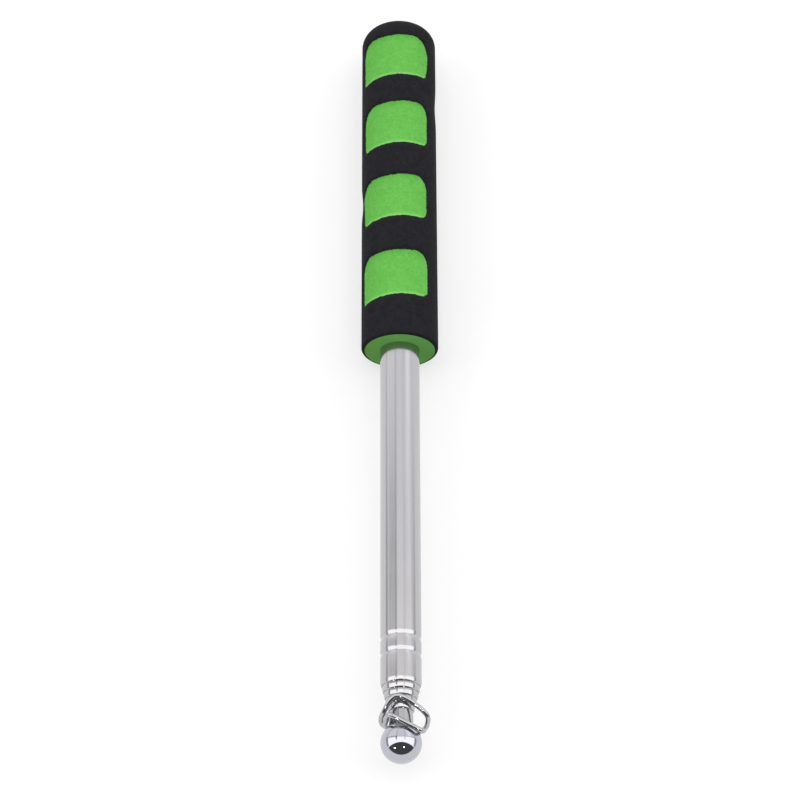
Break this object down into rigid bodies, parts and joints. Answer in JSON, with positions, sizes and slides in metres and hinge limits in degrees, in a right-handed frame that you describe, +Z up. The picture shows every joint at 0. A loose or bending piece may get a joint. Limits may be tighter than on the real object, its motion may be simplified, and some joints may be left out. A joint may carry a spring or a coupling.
{
  "type": "telescopic hand pole",
  "caption": "Telescopic hand pole with a two-colour foam grip, nested steel tubes, a polished ball tip and a loose wire ring for a flag or line.",
  "frame": {"origin": "centre of the lowest face of the bounding box, under the middle of the closed pole", "axes": "+Y along the pole from the ball to the grip's butt, +Z up, +X to the right with the ball towards the viewer"},
  "size_m": [0.0232, 0.2476, 0.0233],
  "materials": {
    "black_foam": "matt closed-cell foam with a fine ground grain",
    "green_foam": "matt closed-cell foam with a fine ground grain",
    "satin_steel": "drawn satin stainless steel with fine lengthwise lines",
    "polished_steel": "polished stainless steel",
    "mirror_chrome": "mirror polish",
    "ring_chrome": "bright plated wire",
    "brass": "turned, uncoated",
    "bronze": "rolled strip, uncoated",
    "nylon": "moulded, natural colour"
  },
  "bodies": {
    "grip": {"grip_sleeve": "black_foam", "grip_core": "green_foam", "outer_tube": "satin_steel", "butt_plug": "nylon"},
    "stage_2_slider": {"stage_2_friction_sleeve": "bronze"},
    "stage_2": {"stage_2_tube": "polished_steel", "stage_2_stop_ring": "brass"},
    "stage_3_slider": {"stage_3_friction_sleeve": "bronze"},
    "stage_3": {"stage_3_tube": "polished_steel", "stage_3_stop_ring": "brass"},
    "stage_4_slider": {"stage_4_friction_sleeve": "bronze"},
    "stage_4": {"stage_4_tube": "polished_steel", "stage_4_stop_ring": "brass"},
    "stage_5_slider": {"stage_5_friction_sleeve": "bronze"},
    "stage_5": {"stage_5_tube": "polished_steel", "stage_5_stop_ring": "brass"},
    "stage_6_slider": {"stage_6_friction_sleeve": "bronze"},
    "stage_6": {"stage_6_tube": "polished_steel", "stage_6_stop_ring": "brass", "tip_insert": "brass", "tip_ball": "mirror_chrome"},
    "ring": {"flag_ring": "ring_chrome"}
  },
  "joints": [
    {"name": "stage_2_slide", "type": "slide", "parent": "grip", "child": "stage_2_slider", "axis": [0, -1, 0], "range_m": [0, 0.1795]},
    {"name": "stage_2_twist", "type": "hinge", "parent": "stage_2_slider", "child": "stage_2", "pos_m": [0, 0.10904, 0.01165], "axis": [0, -1, 0], "continuous": true},
    {"name": "stage_3_slide", "type": "slide", "parent": "stage_2", "child": "stage_3_slider", "axis": [0, -1, 0], "range_m": [0, 0.19325]},
    {"name": "stage_3_twist", "type": "hinge", "parent": "stage_3_slider", "child": "stage_3", "pos_m": [0, 0.10709, 0.01165], "axis": [0, -1, 0], "continuous": true},
    {"name": "stage_4_slide", "type": "slide", "parent": "stage_3", "child": "stage_4_slider", "axis": [0, -1, 0], "range_m": [0, 0.1932]},
    {"name": "stage_4_twist", "type": "hinge", "parent": "stage_4_slider", "child": "stage_4", "pos_m": [0, 0.10514, 0.01165], "axis": [0, -1, 0], "continuous": true},
    {"name": "stage_5_slide", "type": "slide", "parent": "stage_4", "child": "stage_5_slider", "axis": [0, -1, 0], "range_m": [0, 0.19315]},
    {"name": "stage_5_twist", "type": "hinge", "parent": "stage_5_slider", "child": "stage_5", "pos_m": [0, 0.10319, 0.01165], "axis": [0, -1, 0], "continuous": true},
    {"name": "stage_6_slide", "type": "slide", "parent": "stage_5", "child": "stage_6_slider", "axis": [0, -1, 0], "range_m": [0, 0.1931]},
    {"name": "stage_6_twist", "type": "hinge", "parent": "stage_6_slider", "child": "stage_6", "pos_m": [0, 0.10124, 0.01165], "axis": [0, -1, 0], "continuous": true},
    {"name": "ring_swing", "type": "hinge", "parent": "stage_6", "child": "ring", "pos_m": [0, -0.11296, 0.01165], "axis": [0, -1, 0], "continuous": true}
  ]
}
